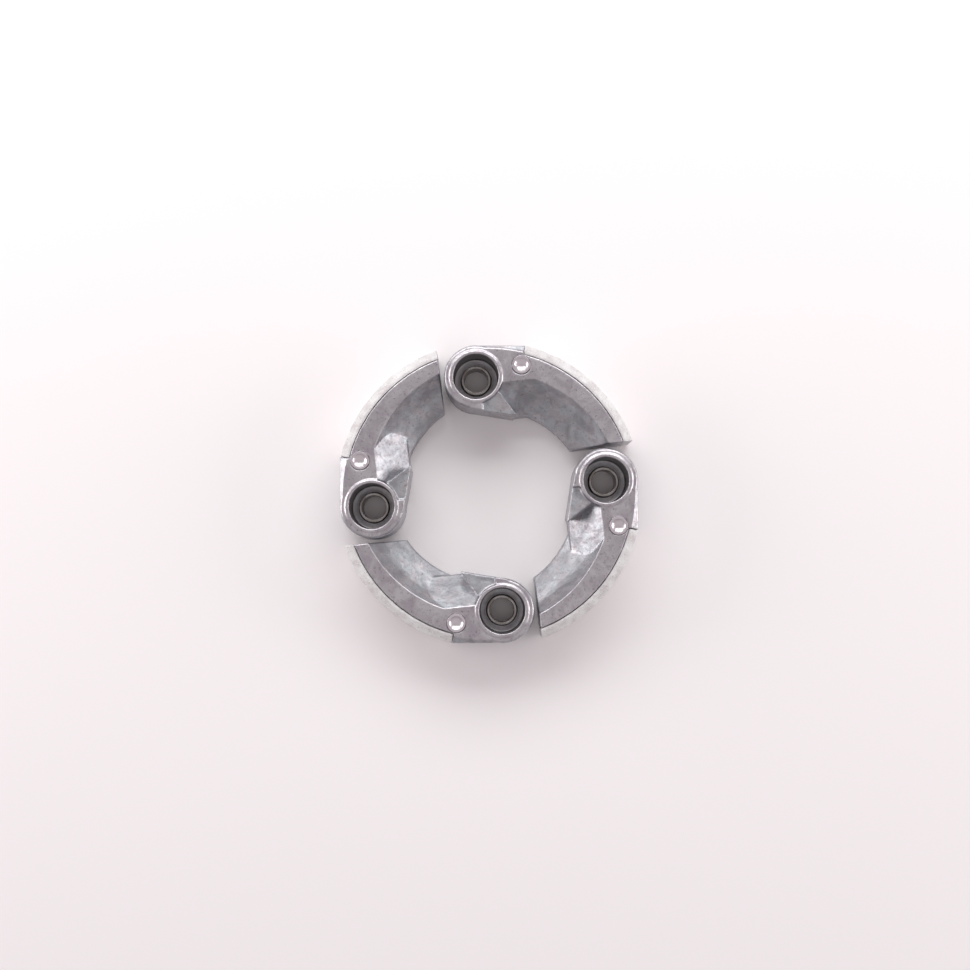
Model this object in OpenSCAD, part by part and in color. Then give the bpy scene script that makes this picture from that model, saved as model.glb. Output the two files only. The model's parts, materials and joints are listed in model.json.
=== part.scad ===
// Ring of four pivoting clutch shoes.
//
// Four identical die-cast shoes lie nose to tail round an open hub space. Each shoe turns on a steel
// bush at its boss, carries a curved friction lining on its outside and has a dish-ended spring pin
// near its boss. The ring's axis is +Z, its seat face is z = 0, and the first boss lies on +Y.
// All sizes are in millimetres.

/* [Ring] */
// Radius over the friction linings
ring_r = 35; // [34.6:0.1:35.6]
// Distance from the ring's axis to each pivot axis
pivot_r = 26.75; // [26.65:0.05:26.9]
// Gap between one shoe's tip and the next shoe's boss
tip_gap = 0.8; // [0.4:0.1:1.2]

/* [Casting] */
// Height from the seat face to the top face
casting_h = 12; // [11.5:0.1:12.5]
// Radius of the curved seat behind the lining
seat_r = 32.7; // [32.4:0.1:33]
// Radius of the pivot boss
boss_r = 7.35; // [7.25:0.05:7.4]
// Direction that the flat beside the boss faces, in degrees from +X
flat_angle = 84; // [83:0.5:85]
// Bevel along the free top edges of the boss and the flat
edge_bevel = 0.5; // [0.3:0.1:0.7]
// Direction that the straight inner wall beside the boss faces away from, in degrees from +X
inner_wall_angle = 74.5; // [73:0.5:76]

/* [Bore] */
// Radius of the bearing hole for the bush
bearing_r = 3.5; // [3.3:0.1:3.7]
// Radius of the wide upper bore
counterbore_r = 5.1; // [4.9:0.1:5.3]
// Height of the wide bore's floor above the seat face
counterbore_z = 4.5; // [4:0.1:5]
// Outer radius of the raised lip round the wide bore
lip_r = 6.05; // [5.9:0.05:6.2]
// Height of the lip above the top face
lip_h = 0.35; // [0.2:0.05:0.5]

/* [Pocket] */
// X of the centre of the arcs that bound the pocket in the inner side
pocket_centre_x = 0.4; // [0.2:0.1:0.6]
// Y of the centre of the arcs that bound the pocket in the inner side
pocket_centre_y = -2.4; // [-2.6:0.1:-2.2]
// Radius of the pocket's arc in the top face
pocket_top_r = 29.9; // [29.7:0.1:30.1]
// Radius of the pocket's arc at the foot of its slope
pocket_foot_r = 22.4; // [22.2:0.1:22.8]
// Height of the low upright wall at the foot of the turned slope
foot_z = 3.5; // [2.8:0.1:4]
// How far the steep upper step runs inwards
step_run = 1.2; // [0.8:0.1:1.5]
// How far the steep upper step drops
step_drop = 3.3; // [2.5:0.1:3.5]
// Reach of the hollow curve that joins the steep step to the slope, each way
step_blend = 2.2; // [1.5:0.1:2.8]
// Distance in Y from the ring's axis to the foot of the flat facet beside the boss
facet_foot_y = 17.4; // [17.2:0.1:17.6]
// Height of the upright wall at the foot of the flat facet
facet_foot_z = 5.4; // [4.9:0.1:5.9]
// X of the place where the web's ridge leaves the lip
ridge_top_x = 4.6; // [4.4:0.1:4.8]
// Y of the place where the web's ridge leaves the lip
ridge_top_y = 23.4; // [23.2:0.1:23.6]
// How far the web's ridge reaches in X before it meets the inner wall
ridge_end_x = 8.7; // [8.5:0.1:9]
// Slope of the web's top, in degrees
web_slope = 12; // [8:1:15]
// Compass direction that the web's top runs down, in degrees from +X
web_downhill = -126; // [-135:1:-115]

/* [Lining] */
// Gap between the lining's ends and faces and the casting's seat face and top face
lining_inset = 0.3; // [0.2:0.1:0.5]
// Width of the bevel on the lining's top
lining_bevel_w = 1.7; // [1.2:0.1:1.9]
// Drop of the bevel on the lining's top
lining_bevel_h = 0.9; // [0.5:0.1:1.2]

/* [Bush] */
// Radial running clearance between the bush and the bearing hole
bush_clearance = 0.05; // [0.03:0.01:0.08]
// Radius of the bush's own bore, for an M5 pivot screw with clearance
bush_bore_r = 2.8; // [2.7:0.05:2.9]
// How far the bush stands above the counterbore's floor
bush_proud = 1.1; // [0.8:0.1:1.4]

/* [Spring pin] */
// X of the pin's axis
pin_x = 10.6; // [10.3:0.1:10.9]
// Y of the pin's axis
pin_y = 28.3; // [28.1:0.1:28.5]
// Radius of the pin
pin_r = 2.1; // [1.9:0.1:2.2]
// Depth of the pin in the casting
pin_depth = 6; // [4:0.5:8]
// How far the pin's end stands above the top face
pin_proud = 0.1; // [0.05:0.05:0.3]
// Radius of the polished dish in the pin's end
dish_r = 1.55; // [1.4:0.05:1.7]
// Depth of the dish
dish_depth = 0.6; // [0.4:0.05:0.7]

/* [Hidden] */
$fn = 96;
// Reach of a cutting solid past the faces that it cuts
past = 2;
shoe_count = 4;
tip_y = boss_r + tip_gap;
// The straight walls lie this far inside the boss's tangents, so that they cut it cleanly
tangent_bite = 0.05;
flat_dist = pivot_r * sin(flat_angle) + boss_r - tangent_bite;
// Where the flat meets the ring's outer circle, the casting steps in to the lining's seat
shoulder_angle = flat_angle - acos(flat_dist / ring_r);
facet_run = pocket_top_r - pocket_foot_r;
facet_rise = casting_h - facet_foot_z;
// The inner wall runs into the boss, and the web's ridge ends on it
inner_wall_dist = pivot_r * sin(inner_wall_angle) - boss_r + tangent_bite;
function inner_wall_y(x) = (inner_wall_dist - x * cos(inner_wall_angle)) / sin(inner_wall_angle);
ridge_end = [ridge_end_x, inner_wall_y(ridge_end_x)];
blend_steps = 4;
// Draft on the pocket's upright sides
pocket_draft = 0.7;
bush_r = bearing_r - bush_clearance;
bush_h = counterbore_z + bush_proud;
bush_edge = 0.15;
lip_edge = 0.15;
dish_ball_r = (dish_r * dish_r + dish_depth * dish_depth) / (2 * dish_depth);
ridge_top = [ridge_top_x, ridge_top_y];

CASTINGS = [for (k = [1:shoe_count]) str("shoe_casting_", k)];
LININGS = [for (k = [1:shoe_count]) str("friction_lining_", k)];
BUSHES = [for (k = [1:shoe_count]) str("pivot_bush_", k)];
PINS = [for (k = [1:shoe_count]) str("spring_pin_", k)];

// Turns a shoe made with its boss on +Y to its own place in the ring, counter-clockwise.
module station(k) {
    rotate([0, 0, 360 / shoe_count * (k - 1)]) children();
}

module at_pivot() {
    translate([0, pivot_r, 0]) children();
}

// Everything on the near side of the flat beside the boss.
module inside_flat() {
    rotate([0, 0, flat_angle])
        translate([-ring_r, -ring_r, -past])
            cube([ring_r + flat_dist, 2 * ring_r, casting_h + 2 * past]);
}

// The arm before its pocket is cut: from the boss's axis round to the tip.
module arm_blank() {
    intersection() {
        difference() {
            cylinder(h = casting_h, r = ring_r);
            lining_seat_cut();
        }
        inside_flat();
        union() {
            translate([0, tip_y, -past]) cube([ring_r, ring_r, casting_h + 2 * past]);
            // Fills the corner between the boss and the inner wall, which meet past its axis.
            translate([-past, tip_y, -past]) cube([ring_r, pivot_r - tip_y, casting_h + 2 * past]);
        }
    }
}

// A sector from the shoulder clockwise past the tip.
module seat_sector(h) {
    reach = 2 * ring_r;
    linear_extrude(height = h)
        polygon([
            [0, 0],
            reach * [cos(shoulder_angle), sin(shoulder_angle)],
            [reach, reach],
            [reach, 0],
        ]);
}

module lining_seat_cut() {
    translate([0, 0, -past])
        difference() {
            seat_sector(casting_h + 2 * past);
            cylinder(h = casting_h + 2 * past, r = seat_r);
        }
}

// Boss with a bevelled top edge.
module boss() {
    at_pivot()
        rotate_extrude()
            polygon([
                [0, 0],
                [boss_r, 0],
                [boss_r, casting_h - edge_bevel],
                [boss_r - edge_bevel, casting_h],
                [0, casting_h],
            ]);
}

module lip() {
    at_pivot()
        rotate_extrude()
            polygon([
                [counterbore_r, casting_h - past],
                [lip_r, casting_h - past],
                [lip_r, casting_h + lip_h - lip_edge],
                [lip_r - lip_edge, casting_h + lip_h],
                [counterbore_r + lip_edge, casting_h + lip_h],
                [counterbore_r, casting_h + lip_h - lip_edge],
            ]);
}

// Points of a curve that leaves a towards corner and arrives at b from it.
function blend_curve(a, corner, b, steps) = [
    for (i = [0:steps])
        let (t = i / steps)
            pow(1 - t, 2) * a + 2 * t * (1 - t) * corner + pow(t, 2) * b
];

function towards(from, to, reach) = from + reach * (to - from) / norm(to - from);

// Profile of the pocket's turned outer side: a low wall, a slope and a steep step. Radius against height.
turned_profile =
    let (
        low = [pocket_foot_r, foot_z],
        corner = [pocket_top_r - step_run, casting_h - step_drop],
        high = [pocket_top_r, casting_h]
    )
        [
            [0, -past],
            [pocket_foot_r, -past],
            low,
            each blend_curve(
                towards(corner, low, step_blend), corner, towards(corner, high, step_blend), blend_steps
            ),
            high,
            [pocket_top_r + past * step_run / step_drop, casting_h + past],
            [0, casting_h + past],
        ];

// Profile of the flat facet beside the boss, a plain slope above an upright wall. -Y against height.
facet_profile = [
    [past, -past],
    [-facet_foot_y, -past],
    [-facet_foot_y, facet_foot_z],
    [-facet_foot_y - facet_run * (facet_rise + past) / facet_rise, casting_h + past],
    [past, casting_h + past],
];

// The turned part of the pocket follows the arm; the flat facet faces -Y.
module pocket() {
    intersection() {
        translate([pocket_centre_x, pocket_centre_y, 0])
            rotate_extrude($fn = 180)
                polygon(turned_profile);
        translate([ring_r, 0, 0])
            rotate([90, 0, -90])
                linear_extrude(height = 2 * ring_r)
                    polygon(facet_profile);
    }
}

// What the pocket leaves standing round the bore.
module bore_wall_keep() {
    at_pivot() translate([0, 0, -past])
        cylinder(h = casting_h + 2 * past, r1 = lip_r + pocket_draft, r2 = lip_r);
}

// The web between the boss and the inner wall; its right side leans out by the draft.
module web_keep() {
    run = ridge_end - ridge_top;
    side = atan2(run.y, run.x);
    lean = atan(pocket_draft / casting_h);
    translate([ridge_top.x, ridge_top.y, casting_h])
        rotate([0, 0, side])
            rotate([-lean, 0, 0])
                translate([-ring_r, -ring_r, -2 * casting_h])
                    cube([2 * ring_r, ring_r, 3 * casting_h]);
}

// The web's top is a shallow slope that starts at the lip and runs down to the inner wall.
module web_top_cut() {
    drop_at_ridge = 0.4;
    left_end = 0.85;
    difference() {
        intersection() {
            translate([ridge_top.x, ridge_top.y, casting_h - drop_at_ridge])
                rotate([0, 0, web_downhill])
                    rotate([0, web_slope, 0])
                        translate([-ring_r, -ring_r, 0])
                            cube([2 * ring_r, 2 * ring_r, casting_h]);
            translate([left_end, 0, casting_h / 2]) cube([ring_r / 2, ridge_top.y, casting_h]);
        }
        at_pivot() cylinder(h = 2 * casting_h, r = lip_r);
    }
}

// Everything between the ring's axis and the inner wall, clear of the arm's foot.
module inner_wall_cut() {
    near_x = -past;
    far_x = 14;
    translate([0, 0, -past])
        linear_extrude(height = casting_h + 2 * past)
            polygon([
                [near_x, 0],
                [near_x, inner_wall_y(near_x)],
                [far_x, inner_wall_y(far_x)],
                [far_x + past, tip_y],
                [far_x + past, 0],
            ]);
}

// The bevel that is turned on the linings runs on over the casting's shoulder.
module turned_bevel_cut() {
    rotate_extrude($fn = 180)
        polygon([
            [ring_r - lining_bevel_w, casting_h + past],
            [ring_r - lining_bevel_w, casting_h - lining_inset],
            [ring_r, casting_h - lining_inset - lining_bevel_h],
            [ring_r + past, casting_h - lining_inset - lining_bevel_h],
            [ring_r + past, casting_h + past],
        ]);
}

// Bevel along the flat's top edge.
module flat_bevel_cut() {
    rotate([0, 0, flat_angle])
        translate([0, ring_r, 0])
            rotate([90, 0, 0])
                linear_extrude(height = 2 * ring_r)
                    polygon([
                        [flat_dist - edge_bevel - past, casting_h + past],
                        [flat_dist + past, casting_h - edge_bevel - past],
                        [flat_dist + past, casting_h + past],
                    ]);
}

module shoe_casting() {
    color([0.56, 0.55, 0.57])
        difference() {
            union() {
                difference() {
                    arm_blank();
                    flat_bevel_cut();
                    turned_bevel_cut();
                    inner_wall_cut();
                    web_top_cut();
                }
                difference() {
                    boss();
                    web_top_cut();
                }
                lip();
            }
            difference() {
                pocket();
                bore_wall_keep();
                web_keep();
            }
            at_pivot() translate([0, 0, -past]) cylinder(h = casting_h, r = bearing_r);
            at_pivot() translate([0, 0, counterbore_z]) cylinder(h = casting_h, r = counterbore_r);
            translate([pin_x, pin_y, casting_h - pin_depth])
                cylinder(h = casting_h, r = pin_r);
        }
}

// Curved pad from the shoulder to the tip, with a bevelled top.
module friction_lining() {
    bottom = lining_inset;
    top = casting_h - lining_inset;
    color([0.80, 0.77, 0.77])
        intersection() {
            rotate_extrude($fn = 180)
                polygon([
                    [seat_r, bottom],
                    [ring_r, bottom],
                    [ring_r, top - lining_bevel_h],
                    [ring_r - lining_bevel_w, top],
                    [seat_r, top],
                ]);
            seat_sector(casting_h);
            translate([0, tip_y, 0]) cube([2 * ring_r, 2 * ring_r, casting_h]);
        }
}

// Plain sleeve with broken outer edges.
module pivot_bush() {
    color([0.62, 0.60, 0.56])
        at_pivot()
            rotate_extrude()
                polygon([
                    [bush_bore_r, 0],
                    [bush_r - bush_edge, 0],
                    [bush_r, bush_edge],
                    [bush_r, bush_h - bush_edge],
                    [bush_r - bush_edge, bush_h],
                    [bush_bore_r, bush_h],
                ]);
}

// Plain pressed-in pin with a dished end.
module spring_pin() {
    color([0.88, 0.88, 0.90])
        translate([pin_x, pin_y, casting_h])
            difference() {
                translate([0, 0, -pin_depth]) cylinder(h = pin_depth + pin_proud, r = pin_r);
                translate([0, 0, pin_proud + dish_ball_r - dish_depth]) sphere(r = dish_ball_r);
            }
}

station(1) shoe_casting();
station(2) shoe_casting();
station(3) shoe_casting();
station(4) shoe_casting();
station(1) friction_lining();
station(2) friction_lining();
station(3) friction_lining();
station(4) friction_lining();
station(1) pivot_bush();
station(2) pivot_bush();
station(3) pivot_bush();
station(4) pivot_bush();
station(1) spring_pin();
station(2) spring_pin();
station(3) spring_pin();
station(4) spring_pin();
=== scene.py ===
"""Looks for a ring of four centrifugal clutch shoes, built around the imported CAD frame.

The castings and linings are fine remeshed copies of their CAD nodes, with eased edges and a rough
skin. The bushes and pins are turned afresh from a few sizes. Lengths are metres.
"""

import json
import math

import bpy
import numpy as np
from mathutils import Matrix, Vector

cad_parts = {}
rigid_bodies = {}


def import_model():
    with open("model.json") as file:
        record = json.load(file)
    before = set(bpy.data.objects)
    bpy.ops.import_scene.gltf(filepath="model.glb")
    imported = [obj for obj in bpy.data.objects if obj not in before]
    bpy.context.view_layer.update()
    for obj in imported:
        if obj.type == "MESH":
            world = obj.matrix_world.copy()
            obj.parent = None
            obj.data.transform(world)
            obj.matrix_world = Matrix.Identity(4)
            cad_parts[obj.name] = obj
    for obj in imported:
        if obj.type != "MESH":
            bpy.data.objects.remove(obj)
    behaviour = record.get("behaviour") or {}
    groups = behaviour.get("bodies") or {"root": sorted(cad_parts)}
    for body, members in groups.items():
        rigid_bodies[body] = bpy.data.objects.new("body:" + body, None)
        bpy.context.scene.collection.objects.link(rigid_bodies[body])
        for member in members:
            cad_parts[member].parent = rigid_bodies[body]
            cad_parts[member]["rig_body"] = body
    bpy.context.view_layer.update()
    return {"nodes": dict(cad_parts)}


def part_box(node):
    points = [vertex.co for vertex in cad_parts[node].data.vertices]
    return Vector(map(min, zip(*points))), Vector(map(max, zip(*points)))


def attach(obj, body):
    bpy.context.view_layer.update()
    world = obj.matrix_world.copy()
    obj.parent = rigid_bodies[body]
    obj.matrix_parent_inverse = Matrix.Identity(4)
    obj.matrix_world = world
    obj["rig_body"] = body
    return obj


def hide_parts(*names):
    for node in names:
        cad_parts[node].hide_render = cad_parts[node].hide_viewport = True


MM = 0.001
SHOES = (1, 2, 3, 4)

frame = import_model()

# ---------------------------------------------------------------- sizes

TOP_Z = 12 * MM                     # top face of the castings
CASTING_VOXEL = 0.18 * MM
CASTING_EASING = 6                  # smoothing passes, which ease the edges
LINING_VOXEL = 0.15 * MM
LINING_EASING = 3
WELD_REACH = 0.001 * MM             # vertices closer than this are joined before remeshing
WEAR_DEPTH = 0.10 * MM              # how far an edge sinks where it counts as fully worn
WEIGHT_STEPS = 8                    # weights are rounded to this many steps
SEAT_PLAIN = 0.05 * MM              # the skin is smooth up to this height above the seat
SEAT_FADE = 0.4 * MM                # height over which it then reaches its full roughness
OIL_AND_SHADE_RADIUS = 5.3 * MM             # the wide bore's wall lies just within it
OIL_AND_SHADE_FADE = 2.5 * MM                 # depth over which the oil film and the painted shade in the bore deepen
BEARING_TOP = 4.5 * MM              # floor of the wide bore
BEARING_MARGIN = 0.2 * MM
BEARING_RADIUS = 3.9 * MM           # the bearing hole and its edge lie within it, and stay smooth
BUSH_BORE = 2.8 * MM                # radius
BUSH_EASE = 0.18 * MM               # rounding of the bush's edges
DISH_RADIUS = 1.55 * MM             # of the dish in a pin's end
DISH_DEPTH = 0.60 * MM
DISH_STEPS = 24
PIN_EASE = 0.08 * MM                # rounding of the pin's edges
CORNER_STEPS = 6
CORNER_ROOM = 2.1                   # a rounded corner takes up to 1/2.1 of each of its sides
AXIS_HOLE = 0.002 * MM              # a turned outline stops this close to its axis
TURNED_SEGMENTS = 160

# Layers of roughness in a mesh: (blob size, depth, depth of noise).
CAST_SKIN = ((3.0 * MM, 0.10 * MM, 1), (0.6 * MM, 0.03 * MM, 2))
CAST_CHIPS = ((1.2 * MM, 0.12 * MM, 2),)
LINING_SKIN = ((1.6 * MM, 0.12 * MM, 2), (0.35 * MM, 0.06 * MM, 2))
LINING_CHIPS = ((0.9 * MM, 0.35 * MM, 2),)

# ---------------------------------------------------------------- camera

RING_TURN = math.radians(6.4)       # how far the ring is turned in the view
CAMERA_TILT = math.radians(3.8)     # off the vertical, towards the bottom of the view
CAMERA_DISTANCE = 0.290             # from the top face's plane
VIEW_WIDTH = 0.2197                 # width of that plane in view
AIM = Vector((-0.0009, 0.0018, TOP_Z))   # where the view's centre meets that plane, before the turn
SENSOR = 36.0
VIEW_TURN = Matrix.Rotation(-RING_TURN, 4, "Z")


def link(obj):
    bpy.context.scene.collection.objects.link(obj)
    return obj


def add_camera():
    cam = bpy.data.cameras.new("camera")
    cam.sensor_width = SENSOR
    cam.lens = SENSOR * CAMERA_DISTANCE / VIEW_WIDTH
    obj = link(bpy.data.objects.new("camera", cam))
    back = Vector((0, -math.sin(CAMERA_TILT), math.cos(CAMERA_TILT))) * CAMERA_DISTANCE
    obj.matrix_world = VIEW_TURN @ Matrix.Translation(AIM + back) @ Matrix.Rotation(CAMERA_TILT, 4, "X")
    bpy.context.scene.camera = obj


# ---------------------------------------------------------------- floor and light

FLOOR_HALF = 3.0
FLOOR_COLOUR = (0.93, 0.885, 0.89, 1)
FLOOR_ROUGHNESS = 0.75
LIGHT_REACH = 0.60                  # distance of each softbox from the ring
WARM = (1.0, 0.98, 0.98)
COOL = (0.98, 1.0, 1.0)
AMBIENT = (1.0, 0.93, 0.95, 1)
AMBIENT_STRENGTH = 0.33


def add_floor():
    s = FLOOR_HALF
    mesh = bpy.data.meshes.new("floor")
    mesh.from_pydata([(-s, -s, 0), (s, -s, 0), (s, s, 0), (-s, s, 0)], [], [(0, 1, 2, 3)])
    obj = link(bpy.data.objects.new("floor", mesh))
    mat = bpy.data.materials.new("floor")
    mat.use_nodes = True
    shader = mat.node_tree.nodes["Principled BSDF"]
    shader.inputs["Base Color"].default_value = FLOOR_COLOUR
    shader.inputs["Roughness"].default_value = FLOOR_ROUGHNESS
    mesh.materials.append(mat)


def add_softbox(name, azimuth, elevation, width, height, watts, colour):
    """A rectangular light that faces the ring. The azimuth is counter-clockwise from the view's right."""
    lamp = bpy.data.lights.new(name, "AREA")
    lamp.shape = "RECTANGLE"
    lamp.size = width
    lamp.size_y = height
    lamp.energy = watts
    lamp.color = colour
    obj = link(bpy.data.objects.new(name, lamp))
    a = math.radians(azimuth)
    e = math.radians(elevation)
    way = Vector((math.cos(e) * math.cos(a), math.cos(e) * math.sin(a), math.sin(e)))
    aim = way.to_track_quat("Z", "Y").to_matrix().to_4x4()
    obj.matrix_world = VIEW_TURN @ Matrix.Translation(way * LIGHT_REACH) @ aim


def add_lights():
    add_softbox("left_softbox", 170, 13, 0.42, 0.28, 1.8, WARM)
    add_softbox("right_softbox", 2, 13, 0.40, 0.28, 1.5, WARM)
    add_softbox("back_softbox", 90, 36, 0.90, 0.32, 3.4, COOL)
    add_softbox("front_softbox", 270, 62, 1.3, 0.9, 1.0, WARM)
    world = bpy.data.worlds.new("world")
    world.use_nodes = True
    background = world.node_tree.nodes["Background"]
    background.inputs["Color"].default_value = AMBIENT
    background.inputs["Strength"].default_value = AMBIENT_STRENGTH
    bpy.context.scene.world = world
    bpy.context.scene.view_settings.view_transform = "Standard"


# ---------------------------------------------------------------- material helpers


class Shader:
    """A Principled material, with short ways to add and wire nodes. Lengths are in millimetres."""

    def __init__(self, name, **sockets):
        self.mat = bpy.data.materials.new(name)
        self.mat.use_nodes = True
        self.nodes = self.mat.node_tree.nodes
        self.links = self.mat.node_tree.links
        self.bsdf = self.nodes["Principled BSDF"]
        self.place = self.nodes.new("ShaderNodeTexCoord").outputs["Object"]
        for socket, value in sockets.items():
            self.bsdf.inputs[socket.replace("_", " ")].default_value = value

    def wire(self, value, socket):
        if isinstance(value, bpy.types.NodeSocket):
            self.links.new(value, socket)
        else:
            socket.default_value = value

    def noise(self, size, detail=3.0, roughness=0.5, stretch=None, distortion=0.0):
        """Noise from 0 to 1 whose blobs are about size millimetres across."""
        node = self.nodes.new("ShaderNodeTexNoise")
        node.inputs["Scale"].default_value = 1 / (size * MM)
        node.inputs["Detail"].default_value = detail
        node.inputs["Roughness"].default_value = roughness
        node.inputs["Distortion"].default_value = distortion
        self.wire(self.stretched(stretch) if stretch else self.place, node.inputs["Vector"])
        return node.outputs["Fac"]

    def stretched(self, scale):
        node = self.nodes.new("ShaderNodeMapping")
        node.inputs["Scale"].default_value = scale
        self.wire(self.place, node.inputs["Vector"])
        return node.outputs["Vector"]

    def ramp(self, value, low, high, to_low=0.0, to_high=1.0):
        """value, stretched from low..high to to_low..to_high and clamped there."""
        node = self.nodes.new("ShaderNodeMapRange")
        self.wire(value, node.inputs["Value"])
        for name, number in (("From Min", low), ("From Max", high), ("To Min", to_low), ("To Max", to_high)):
            node.inputs[name].default_value = number
        return node.outputs["Result"]

    def mix(self, share, a, b):
        """A colour that goes from a to b as share goes from 0 to 1."""
        node = self.nodes.new("ShaderNodeMix")
        node.data_type = "RGBA"
        self.wire(share, node.inputs["Factor"])
        self.wire(a, node.inputs["A"])
        self.wire(b, node.inputs["B"])
        return node.outputs["Result"]

    def colour(self, value):
        self.wire(value, self.bsdf.inputs["Base Color"])

    def rough(self, value):
        self.wire(value, self.bsdf.inputs["Roughness"])

    def bump(self, *layers):
        """Each layer is (height from 0 to 1, depth in millimetres, strength)."""
        normal = None
        for height, depth, strength in layers:
            node = self.nodes.new("ShaderNodeBump")
            node.inputs["Distance"].default_value = depth * MM
            node.inputs["Strength"].default_value = strength
            self.wire(height, node.inputs["Height"])
            if normal:
                self.wire(normal, node.inputs["Normal"])
            normal = node.outputs["Normal"]
        self.wire(normal, self.bsdf.inputs["Normal"])

    def attribute(self, name):
        node = self.nodes.new("ShaderNodeAttribute")
        node.attribute_name = name
        return node.outputs["Fac"]

    def height(self):
        """Distance above the seat face, in metres."""
        node = self.nodes.new("ShaderNodeSeparateXYZ")
        self.wire(self.place, node.inputs[0])
        return node.outputs["Z"]


# ---------------------------------------------------------------- colours


def grey(value, red=0.0, blue=0.0):
    """A grey with a slight cast."""
    return (value + red, value, value + blue, 1)


SKIN_DARK = (0.37, 0.365, 0.39, 1)          # walls, pocket and web of the castings
SKIN_BLUISH = (0.51, 0.54, 0.57, 1)
SKIN_ROSY = (0.56, 0.53, 0.55, 1)
FACE_DARK = (0.46, 0.425, 0.46, 1)          # their top faces
FACE_PALE = (0.61, 0.58, 0.605, 1)
CAST_BLOTCH = (0.33, 0.30, 0.325, 1)
CAST_FLECK = (0.20, 0.175, 0.19, 1)
# painted shade: darkens the castings' inner corners
CAST_CORNER_SHADE = (0.22, 0.20, 0.20, 1)
CAST_RUBBED = grey(0.42)
# an oil film in the stepped hole, with painted shade that deepens towards its floor
OIL_AND_SHADE_DARK = (0.10, 0.085, 0.08, 1)
OIL_AND_SHADE_LIGHT = (0.30, 0.275, 0.265, 1)
PAD_DARK = (0.60, 0.56, 0.565, 1)
PAD_PALE = (0.76, 0.745, 0.745, 1)
PAD_FIBRE = (0.84, 0.82, 0.81, 1)
PAD_GRIT = (0.36, 0.32, 0.31, 1)
PAD_GRIME = (0.50, 0.46, 0.45, 1)
# the bush's steel and its oil film, both painted darker as shade of the bore
BUSH_SHADED_STEEL = grey(0.36, red=0.02, blue=-0.01)
BUSH_SHADED_OIL = grey(0.22, red=0.03, blue=-0.02)
PIN_BARE = (0.72, 0.665, 0.70, 1)
PIN_SCUFFED = (0.62, 0.57, 0.605, 1)

# ---------------------------------------------------------------- materials

FACE_FADE = TOP_Z - 0.25 * MM       # the top faces' colour starts at this height
FACE_FULL = TOP_Z - 0.12 * MM       # and is complete from this one up
RING_PITCH = 0.9                    # of the turning marks, in millimetres


def cast_alloy():
    """Die-cast skin: cloudy flow marks and dark flecks, rubbed edges, painted shade in the inner corners,
    and an oily film in the stepped hole that darkens with depth as painted shade.
    """
    s = Shader("cast_alloy_skin", Metallic=1.0)
    clouds = s.noise(4.5, detail=5, roughness=0.6, distortion=0.8)
    tint = s.noise(2.6, detail=3)
    blotches = s.noise(1.2, detail=4, roughness=0.65)
    flecks = s.noise(0.45, detail=2)
    edge_wear_and_corner_shade = s.attribute("wear_and_corner_shade")
    on_face = s.ramp(s.height(), FACE_FADE, FACE_FULL)
    pale = s.mix(s.ramp(tint, 0.4, 0.6), SKIN_BLUISH, SKIN_ROSY)
    skin = s.mix(s.ramp(clouds, 0.38, 0.62), SKIN_DARK, pale)
    face = s.mix(s.ramp(clouds, 0.36, 0.62), FACE_DARK, FACE_PALE)
    metal = s.mix(on_face, skin, face)
    metal = s.mix(s.ramp(blotches, 0.52, 0.68, 0, 0.6), metal, CAST_BLOTCH)
    metal = s.mix(s.ramp(flecks, 0.63, 0.71, 0, 0.7), metal, CAST_FLECK)
    # painted shade: inner corners, where the surface sank inwards, are darkened
    metal = s.mix(s.ramp(edge_wear_and_corner_shade, -0.15, -0.7, 0, 0.5), metal, CAST_CORNER_SHADE)
    oil_and_shade = s.mix(s.ramp(blotches, 0.4, 0.6), OIL_AND_SHADE_DARK, OIL_AND_SHADE_LIGHT)
    # painted shade: the stepped hole darkens with depth, mixed with the oil film
    metal = s.mix(s.ramp(s.attribute("oil_and_shade"), 0, 1, 0, 0.4), metal, oil_and_shade)
    s.colour(s.mix(s.ramp(edge_wear_and_corner_shade, 0.3, 1.0, 0, 0.5), metal, CAST_RUBBED))
    skin_rough = s.ramp(blotches, 0.3, 0.7, 0.36, 0.52)
    face_rough = s.ramp(blotches, 0.3, 0.7, 0.33, 0.45)
    rubbed_rough = grey(0.60)
    rough = s.mix(on_face, skin_rough, face_rough)
    s.rough(s.mix(s.ramp(edge_wear_and_corner_shade, 0.3, 1.0, 0, 0.7), rough, rubbed_rough))
    s.bump((blotches, 0.06, 0.6), (flecks, 0.025, 0.6), (s.noise(0.16, detail=2), 0.008, 0.5))
    return s.mat


def friction_material():
    """Pressed-fibre composite: matt and pale, flecked with light and dark fibres, grimy where chipped."""
    s = Shader("pressed_fibre", Metallic=0.0)
    clouds = s.noise(2.6, detail=4)
    fibres = s.noise(0.55, detail=3, stretch=(1, 1, 3.0), distortion=1.5)
    grit = s.noise(0.28, detail=2)
    edge_wear_and_corner_shade = s.attribute("wear_and_corner_shade")
    body = s.mix(s.ramp(clouds, 0.36, 0.64), PAD_DARK, PAD_PALE)
    body = s.mix(s.ramp(fibres, 0.56, 0.66, 0, 0.7), body, PAD_FIBRE)
    body = s.mix(s.ramp(grit, 0.62, 0.70, 0, 0.6), body, PAD_GRIT)
    s.colour(s.mix(s.ramp(edge_wear_and_corner_shade, 0.3, 1.0, 0, 0.35), body, PAD_GRIME))
    s.rough(s.ramp(fibres, 0.3, 0.7, 0.92, 0.74))
    s.bump((fibres, 0.10, 0.7), (grit, 0.05, 0.6))
    return s.mat


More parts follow.
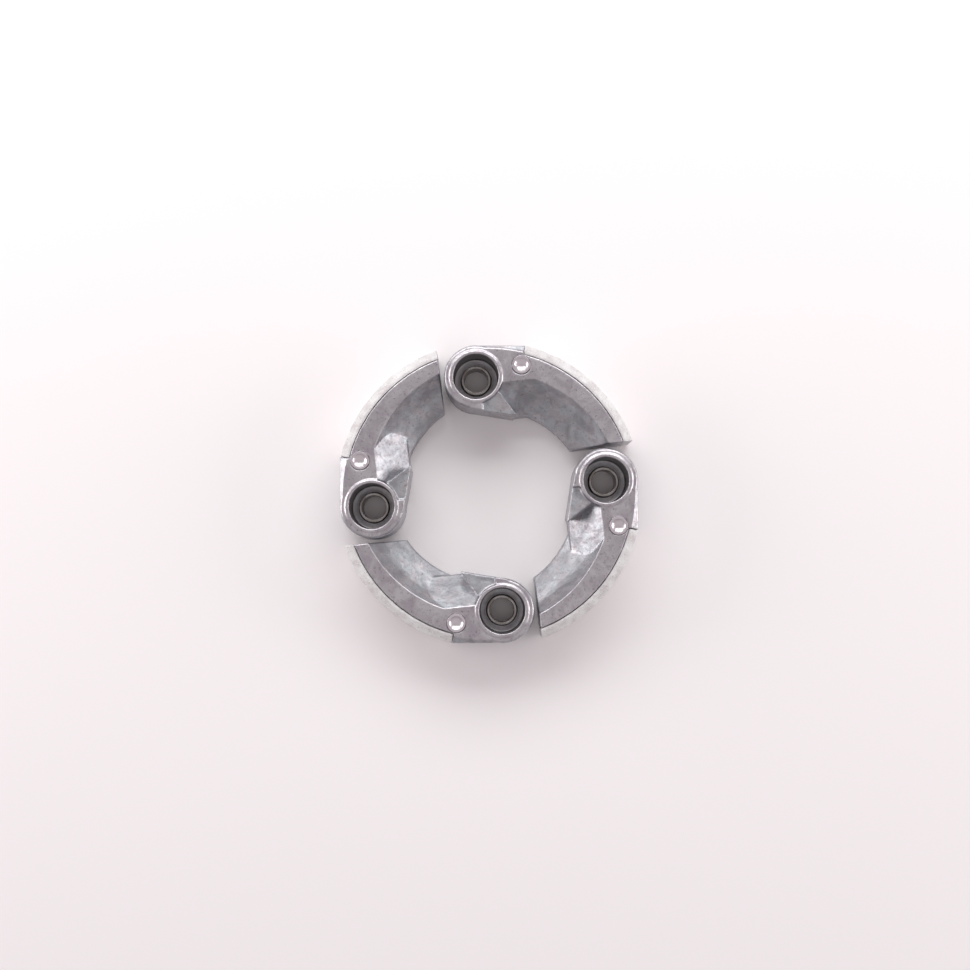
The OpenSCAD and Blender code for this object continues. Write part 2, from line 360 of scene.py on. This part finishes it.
def bush_steel():
    """Turned steel: faint turning marks about the bush's own axis, under a brownish oily film; the steel is
    painted darker as shade of the bore it sits in.
    """
    s = Shader("turned_steel", Metallic=1.0)
    rings = s.nodes.new("ShaderNodeTexWave")
    rings.wave_type = "RINGS"
    rings.rings_direction = "Z"
    rings.inputs["Scale"].default_value = 1 / (RING_PITCH * MM)
    rings.inputs["Distortion"].default_value = 0.6
    rings.inputs["Detail"].default_value = 2
    s.wire(s.place, rings.inputs["Vector"])
    film = s.noise(1.2, detail=3)
    s.colour(s.mix(s.ramp(film, 0.4, 0.65), BUSH_SHADED_STEEL, BUSH_SHADED_OIL))
    s.rough(s.ramp(film, 0.3, 0.7, 0.26, 0.40))
    s.bump((rings.outputs["Fac"], 0.01, 0.6))
    return s.mat


def pin_steel():
    """Bright steel with a few faint scuffs."""
    s = Shader("polished_steel", Metallic=1.0)
    scuffs = s.noise(0.8, detail=2, stretch=(1, 4, 1))
    s.colour(s.mix(s.ramp(scuffs, 0.6, 0.7, 0, 0.4), PIN_BARE, PIN_SCUFFED))
    s.rough(s.ramp(scuffs, 0.5, 0.7, 0.32, 0.38))
    s.bump((scuffs, 0.002, 0.2))
    return s.mat


# ---------------------------------------------------------------- mesh helpers


def finished(obj, material, node):
    """Gives a new piece its material and slot, and puts it in the place of its CAD node."""
    obj.data.materials.clear()
    obj.data.materials.append(material)
    obj.data.polygons.foreach_set("use_smooth", np.ones(len(obj.data.polygons), bool))
    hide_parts(node)
    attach(obj, frame["nodes"][node]["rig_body"])


def applied(obj):
    """Applies all of a piece's modifiers."""
    depsgraph = bpy.context.evaluated_depsgraph_get()
    mesh = bpy.data.meshes.new_from_object(obj.evaluated_get(depsgraph))
    obj.modifiers.clear()
    obj.data = mesh
    mesh.name = obj.name


def remeshed(node, name, voxel, passes):
    """A copy of a CAD node with an even fine mesh, its edges eased by that many smoothing passes.

    Its attribute of how far each point sank is up to 1 where a sharp edge was rounded off and down to -1 in
    an inner corner; the castings paint shade into those corners.
    """
    obj = link(bpy.data.objects.new(name, frame["nodes"][node].data.copy()))
    weld = obj.modifiers.new("weld", "WELD")
    weld.merge_threshold = WELD_REACH
    remesh = obj.modifiers.new("remesh", "REMESH")
    remesh.mode = "VOXEL"
    remesh.voxel_size = voxel
    applied(obj)
    sharp = positions(obj)
    smooth = obj.modifiers.new("smooth", "SMOOTH")
    smooth.factor = 0.5
    smooth.iterations = passes
    applied(obj)
    normals = np.empty(len(obj.data.vertices) * 3)
    obj.data.vertex_normals.foreach_get("vector", normals)
    sunk = ((sharp - positions(obj)) * normals.reshape(-1, 3)).sum(1)
    wear_and_corner_shade = obj.data.attributes.new("wear_and_corner_shade", "FLOAT", "POINT")
    wear_and_corner_shade.data.foreach_set("value", np.clip(sunk / WEAR_DEPTH, -1, 1).astype(np.float32))
    return obj


def wear_of(obj):
    values = np.empty(len(obj.data.vertices), np.float32)
    obj.data.attributes["wear_and_corner_shade"].data.foreach_get("value", values)
    return values


def positions(obj):
    co = np.empty(len(obj.data.vertices) * 3)
    obj.data.vertices.foreach_get("co", co)
    return co.reshape(-1, 3)


def roughened(obj, weight, layers):
    """Sinks the skin into hollows, in full where weight is 1 and not at all where it is 0 or less."""
    group = obj.vertex_groups.new(name="skin")
    levels = np.round(np.clip(weight, 0, 1) * WEIGHT_STEPS) / WEIGHT_STEPS
    for level in np.unique(levels):
        if level > 0:
            group.add(np.flatnonzero(levels == level).tolist(), float(level), "REPLACE")
    for size, depth, octaves in layers:
        clouds = bpy.data.textures.new(f"{obj.name}_skin", "CLOUDS")
        clouds.noise_scale = size
        clouds.noise_depth = octaves
        sink = obj.modifiers.new("sink", "DISPLACE")
        sink.texture = clouds
        sink.texture_coords = "LOCAL"
        sink.strength = depth
        sink.mid_level = 1.0
        sink.vertex_group = "skin"
    applied(obj)
    obj.vertex_groups.clear()


def rounded(before, corner, after, radius):
    """A short curve in place of a corner of an outline."""
    p = Vector(corner)
    back = Vector(before) - p
    on = Vector(after) - p
    reach = min(radius, back.length / CORNER_ROOM, on.length / CORNER_ROOM)
    a = p + back.normalized() * reach
    b = p + on.normalized() * reach
    steps = [i / CORNER_STEPS for i in range(CORNER_STEPS + 1)]
    return [a * (1 - t) ** 2 + p * 2 * t * (1 - t) + b * t**2 for t in steps]


def all_rounded(corners, radius):
    """A closed outline with every corner rounded."""
    outline = []
    for i, corner in enumerate(corners):
        outline += rounded(corners[i - 1], corner, corners[(i + 1) % len(corners)], radius)
    return outline


def turned(name, outline, closed):
    """Turns an outline of (radius, height) about Z. An open one starts and ends on the axis."""
    n = TURNED_SEGMENTS
    radii = np.array([p[0] for p in outline])
    heights = np.array([p[1] for p in outline])
    angle = np.linspace(0, 2 * math.pi, n, endpoint=False)
    x = np.outer(radii, np.cos(angle))
    y = np.outer(radii, np.sin(angle))
    z = np.repeat(heights[:, None], n, 1)
    points = np.stack([x, y, z], -1).reshape(-1, 3).tolist()
    rows = len(outline)
    faces = []
    for i in range(rows if closed else rows - 1):
        for j in range(n):
            a = i * n + j
            b = i * n + (j + 1) % n
            up = ((i + 1) % rows - i) * n
            faces.append((a, b, b + up, a + up))
    if not closed:
        faces.append(tuple(reversed(range(n))))
        faces.append(tuple(range((rows - 1) * n, rows * n)))
    mesh = bpy.data.meshes.new(name)
    mesh.from_pydata(points, [], faces)
    mesh.validate()
    return link(bpy.data.objects.new(name, mesh))


def centre_of(node):
    low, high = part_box(node)
    return (low + high) / 2


# ---------------------------------------------------------------- pieces


def make_casting(k, material):
    node = f"shoe_casting_{k}"
    obj = remeshed(node, f"cast_shoe_{k}", CASTING_VOXEL, CASTING_EASING)
    co = positions(obj)
    pivot = centre_of(f"pivot_bush_{k}")
    from_pivot = np.hypot(co[:, 0] - pivot.x, co[:, 1] - pivot.y)
    in_bearing = (from_pivot < BEARING_RADIUS) & (co[:, 2] < BEARING_TOP + BEARING_MARGIN)
    above_seat = np.clip((co[:, 2] - SEAT_PLAIN) / SEAT_FADE, 0, 1)
    skin = np.where(in_bearing, 0, above_seat)
    # darkens with depth below the top face: painted shade, with an oil film
    oil_and_shade_depth = np.clip((TOP_Z - co[:, 2]) / OIL_AND_SHADE_FADE, 0, 1) * above_seat
    oil_and_shade = obj.data.attributes.new("oil_and_shade", "FLOAT", "POINT")
    oil_and_shade.data.foreach_set("value", np.where(from_pivot < OIL_AND_SHADE_RADIUS, oil_and_shade_depth, 0).astype(np.float32))
    roughened(obj, skin, CAST_SKIN)
    roughened(obj, skin * wear_of(obj), CAST_CHIPS)
    finished(obj, material, node)


def make_lining(k, material):
    node = f"friction_lining_{k}"
    obj = remeshed(node, f"lining_{k}", LINING_VOXEL, LINING_EASING)
    everywhere = np.ones(len(obj.data.vertices))
    roughened(obj, everywhere, LINING_SKIN)
    roughened(obj, wear_of(obj), LINING_CHIPS)
    finished(obj, material, node)


def make_bush(k, material):
    node = f"pivot_bush_{k}"
    low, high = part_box(node)
    outer = (high.x - low.x) / 2
    height = high.z - low.z
    corners = [(BUSH_BORE, 0), (outer, 0), (outer, height), (BUSH_BORE, height)]
    obj = turned(f"bush_{k}", all_rounded(corners, BUSH_EASE), closed=True)
    obj.location = ((low.x + high.x) / 2, (low.y + high.y) / 2, low.z)
    finished(obj, material, node)


def make_pin(k, material):
    node = f"spring_pin_{k}"
    low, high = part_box(node)
    outer = (high.x - low.x) / 2
    ball = (DISH_RADIUS**2 + DISH_DEPTH**2) / (2 * DISH_DEPTH)
    rim = math.asin(DISH_RADIUS / ball)
    ball_z = high.z - DISH_DEPTH + ball
    dish = []
    for i in range(DISH_STEPS + 1):
        t = rim * (1 - i / DISH_STEPS)
        dish.append((max(ball * math.sin(t), AXIS_HOLE), ball_z - ball * math.cos(t)))
    foot = (AXIS_HOLE, low.z)
    heel = (outer, low.z)
    brim = (outer, high.z)
    outline = [foot]
    outline += rounded(foot, heel, brim, PIN_EASE)
    outline += rounded(heel, brim, dish[0], PIN_EASE)
    outline += rounded(brim, dish[0], dish[1], PIN_EASE)
    obj = turned(f"pin_{k}", outline + dish[1:], closed=False)
    obj.location = ((low.x + high.x) / 2, (low.y + high.y) / 2, 0)
    finished(obj, material, node)


add_camera()
add_floor()
add_lights()

alloy = cast_alloy()
friction = friction_material()
bearing_steel = bush_steel()
polished_steel = pin_steel()

for k in SHOES:
    make_casting(k, alloy)
    make_lining(k, friction)
    make_bush(k, bearing_steel)
    make_pin(k, polished_steel)
